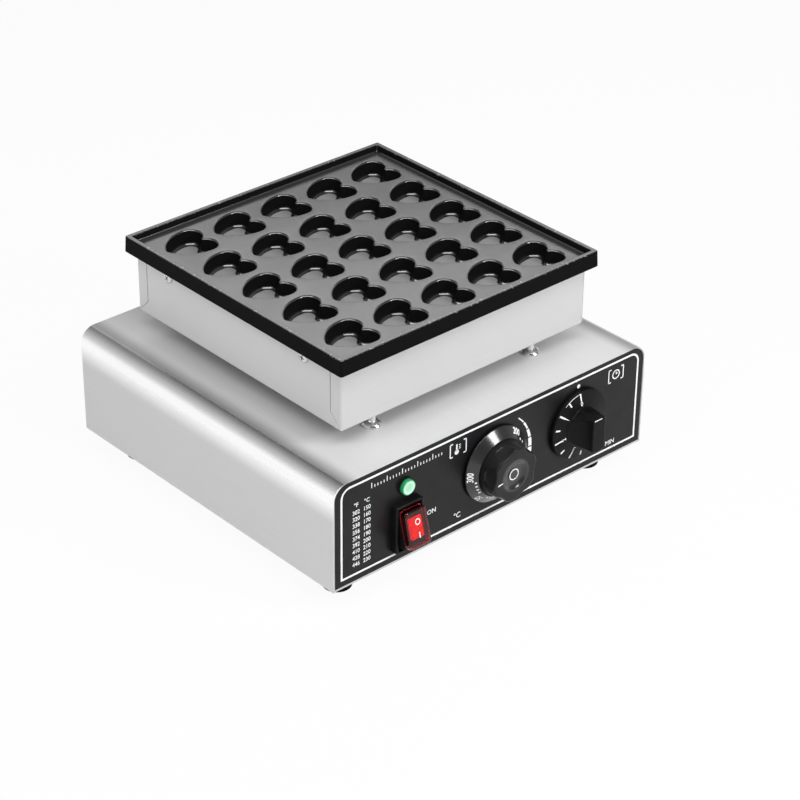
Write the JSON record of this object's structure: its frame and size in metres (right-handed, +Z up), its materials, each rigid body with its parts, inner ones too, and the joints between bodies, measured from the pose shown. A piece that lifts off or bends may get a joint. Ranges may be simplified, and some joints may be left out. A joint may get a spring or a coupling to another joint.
{
  "type": "countertop waffle griddle",
  "caption": "Countertop griddle: a cast plate of heart-shaped cavities on a heater tray, raised on posts over a steel control box with dials, a rocker switch and a lamp.",
  "frame": {"origin": "on the table under the middle of the object's box, which is the middle of the base", "axes": "+Z up, +X to the right seen from the front, the controls face -Y"},
  "size_m": [0.32, 0.352, 0.1925],
  "materials": {
    "stainless_sheet": "satin stainless sheet with a fine brushed grain",
    "inner_steel": "plain zinc-plated steel",
    "polished_post": "polished turned steel",
    "fastener": "bright zinc-plated steel",
    "coated_cast": "black non-stick coating on cast aluminium",
    "label_film": "charcoal printed film, white print",
    "rubber_foot": "black moulded rubber",
    "dial_plastic": "black satin-gloss moulded plastic",
    "cap_plastic": "plain grey disc",
    "switch_plastic": "black moulded plastic",
    "rocker_red": "lit red rocker",
    "clear_red": "clear dark red moulded cap",
    "lens_green": "green lamp lens",
    "heater_tube": "heat-tinted steel tube",
    "fibre_pad": "ceramic-fibre blanket",
    "copper_tube": "drawn copper",
    "brass_stud": "plain brass",
    "body_plastic": "moulded plastic body",
    "block_ceramic": "unglazed white ceramic"
  },
  "bodies": {
    "griddle": {"base_cover": "stainless_sheet", "front_panel": "stainless_sheet", "control_label": "label_film", "rear_panel": "stainless_sheet", "bottom_plate": "inner_steel", "bottom_screws": "fastener", "feet": "rubber_foot", "foot_screws": "fastener", "foot_nuts": "fastener", "standoff_posts": "polished_post", "standoff_lower_screws": "fastener", "standoff_upper_screws": "fastener", "lead_conduit": "inner_steel", "conduit_nuts": "fastener", "heater_tray": "stainless_sheet", "baking_plate": "coated_cast", "side_screws": "fastener", "heating_elements": "heater_tube", "element_clamps": "inner_steel", "clamp_studs": "fastener", "clamp_nuts": "fastener", "insulation_pad": "fibre_pad", "temperature_bulb": "copper_tube", "thermostat_body": "body_plastic", "thermostat_screws": "fastener", "timer_body": "body_plastic", "timer_screws": "fastener", "switch_housing": "switch_plastic", "lamp_body": "switch_plastic", "lamp_lens": "lens_green", "lamp_nut": "fastener", "terminal_block": "block_ceramic", "terminal_screws": "fastener", "cord_gland": "switch_plastic", "gland_nut": "switch_plastic", "earth_stud": "brass_stud", "earth_nut": "brass_stud"},
    "thermostat_dial": {"thermostat_shaft": "fastener", "thermostat_knob": "dial_plastic", "knob_centre_cap": "cap_plastic"},
    "timer_dial": {"timer_shaft": "fastener", "timer_knob": "dial_plastic"},
    "switch_paddle": {"switch_rocker": "rocker_red", "switch_cap": "clear_red"}
  },
  "joints": [
    {"name": "thermostat_turn", "type": "hinge", "parent": "griddle", "child": "thermostat_dial", "pos_m": [-0.0015, -0.152, 0.0685], "axis": [0, 1, 0], "range_deg": [0, 300]},
    {"name": "timer_turn", "type": "hinge", "parent": "griddle", "child": "timer_dial", "pos_m": [0.0865, -0.152, 0.0685], "axis": [0, 1, 0], "range_deg": [0, 255]},
    {"name": "switch_rock", "type": "hinge", "parent": "griddle", "child": "switch_paddle", "pos_m": [-0.091, -0.156, 0.0535], "axis": [1, 0, 0], "range_deg": [0, 30]}
  ]
}
